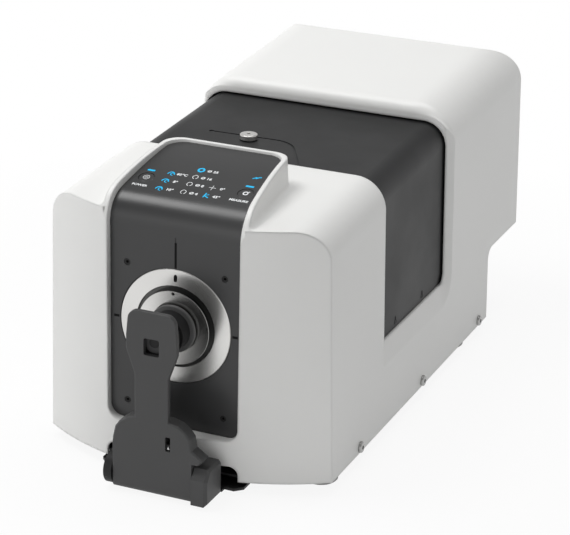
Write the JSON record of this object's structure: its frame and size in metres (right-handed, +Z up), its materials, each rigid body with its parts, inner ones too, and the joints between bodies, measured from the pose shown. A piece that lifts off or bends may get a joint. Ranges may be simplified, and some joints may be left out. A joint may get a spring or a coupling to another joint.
{
  "type": "benchtop colorimeter",
  "caption": "Benchtop sphere colorimeter: white moulded casing, dark key panel, round sample port, fold-down sample arm and sliding compartment cover.",
  "frame": {"origin": "centre of the overall box in plan, on the table under the feet", "axes": "+Z up, -Y towards the sample port and the operator, +X to the right seen from the operator"},
  "size_m": [0.253, 0.529, 0.2498],
  "materials": {
    "casing": "satin white moulding",
    "panel": "fine matt dark grey",
    "cover": "fine matt dark grey",
    "tray": "zinc plated sheet",
    "feet": "black rubber",
    "screws": "plated",
    "black_screws": "blackened",
    "board": "circuit board",
    "port_metal": "turned",
    "sphere": "cast and machined",
    "frame_black": "black powder coat",
    "post": "turned",
    "glass": "clear",
    "runner": "natural acetal",
    "knob": "turned",
    "socket": "black",
    "pin": "ground",
    "arm": "fine dark grey coat",
    "catch": "black",
    "pad": "dark elastomer"
  },
  "bodies": {
    "instrument": {"outer_shell": "casing", "front_panel": "panel", "base_plate": "tray", "connector_plate": "tray", "slide_rails": "tray", "feet": "feet", "side_screws": "screws", "lid_screws": "screws", "sphere_screws": "screws", "panel_screws": "black_screws", "key_board": "board", "main_board": "board", "port_ring": "port_metal", "sphere_front": "sphere", "sphere_rear": "sphere", "lamp_housing": "sphere", "lens_barrel": "sphere", "sphere_cradle": "frame_black", "chamber_deck": "frame_black", "chamber_front_wall": "frame_black", "chamber_rear_wall": "frame_black", "arm_bracket": "frame_black", "spectrometer_box": "frame_black", "spectrometer_lid": "frame_black", "power_supply": "frame_black", "deck_posts": "post", "board_spacers": "post", "flash_lamp": "glass", "lens_glass": "glass", "power_inlet": "socket", "data_socket": "socket", "hinge_pin": "pin", "hinge_damper": "arm"},
    "cover": {"chamber_cover": "cover", "cover_runners": "runner"},
    "knob": {"cover_knob": "knob"},
    "mask": {"target_mask": "port_metal"},
    "arm": {"sample_arm": "arm"},
    "catch": {"arm_catch": "catch"},
    "pad": {"pad_stem": "arm", "sample_pad": "pad"},
    "power_key": {"power_button": "panel"},
    "measure_key": {"measure_button": "panel"}
  },
  "joints": [
    {"name": "cover_slide", "type": "slide", "parent": "instrument", "child": "cover", "axis": [0, 1, 0], "range_m": [0, 0.14]},
    {"name": "knob_turn", "type": "hinge", "parent": "cover", "child": "knob", "pos_m": [-0.027, -0.0265, 0.22], "axis": [0, 0, 1], "range_deg": [0, 90]},
    {"name": "mask_turn", "type": "hinge", "parent": "instrument", "child": "mask", "pos_m": [0, -0.2205, 0.1297], "axis": [0, 1, 0], "range_deg": [0, 25]},
    {"name": "arm_fold", "type": "hinge", "parent": "instrument", "child": "arm", "pos_m": [0, -0.2515, 0.0155], "axis": [1, 0, 0], "range_deg": [0, 88], "stiffness_Nm_per_rad": 0.12, "springref_deg": -34.38},
    {"name": "catch_slide", "type": "slide", "parent": "arm", "child": "catch", "axis": [0, 0, 1], "range_m": [0, 0.0055]},
    {"name": "pad_press", "type": "slide", "parent": "arm", "child": "pad", "axis": [0, -1, 0], "range_m": [0, 0.003], "stiffness_N_per_m": 600, "springref_m": -0.003},
    {"name": "power_press", "type": "slide", "parent": "instrument", "child": "power_key", "axis": [0, 0.2407, -0.9706], "range_m": [0, 0.001], "stiffness_N_per_m": 400, "springref_m": -0.002},
    {"name": "measure_press", "type": "slide", "parent": "instrument", "child": "measure_key", "axis": [0, 0.2407, -0.9706], "range_m": [0, 0.001], "stiffness_N_per_m": 400, "springref_m": -0.002}
  ]
}
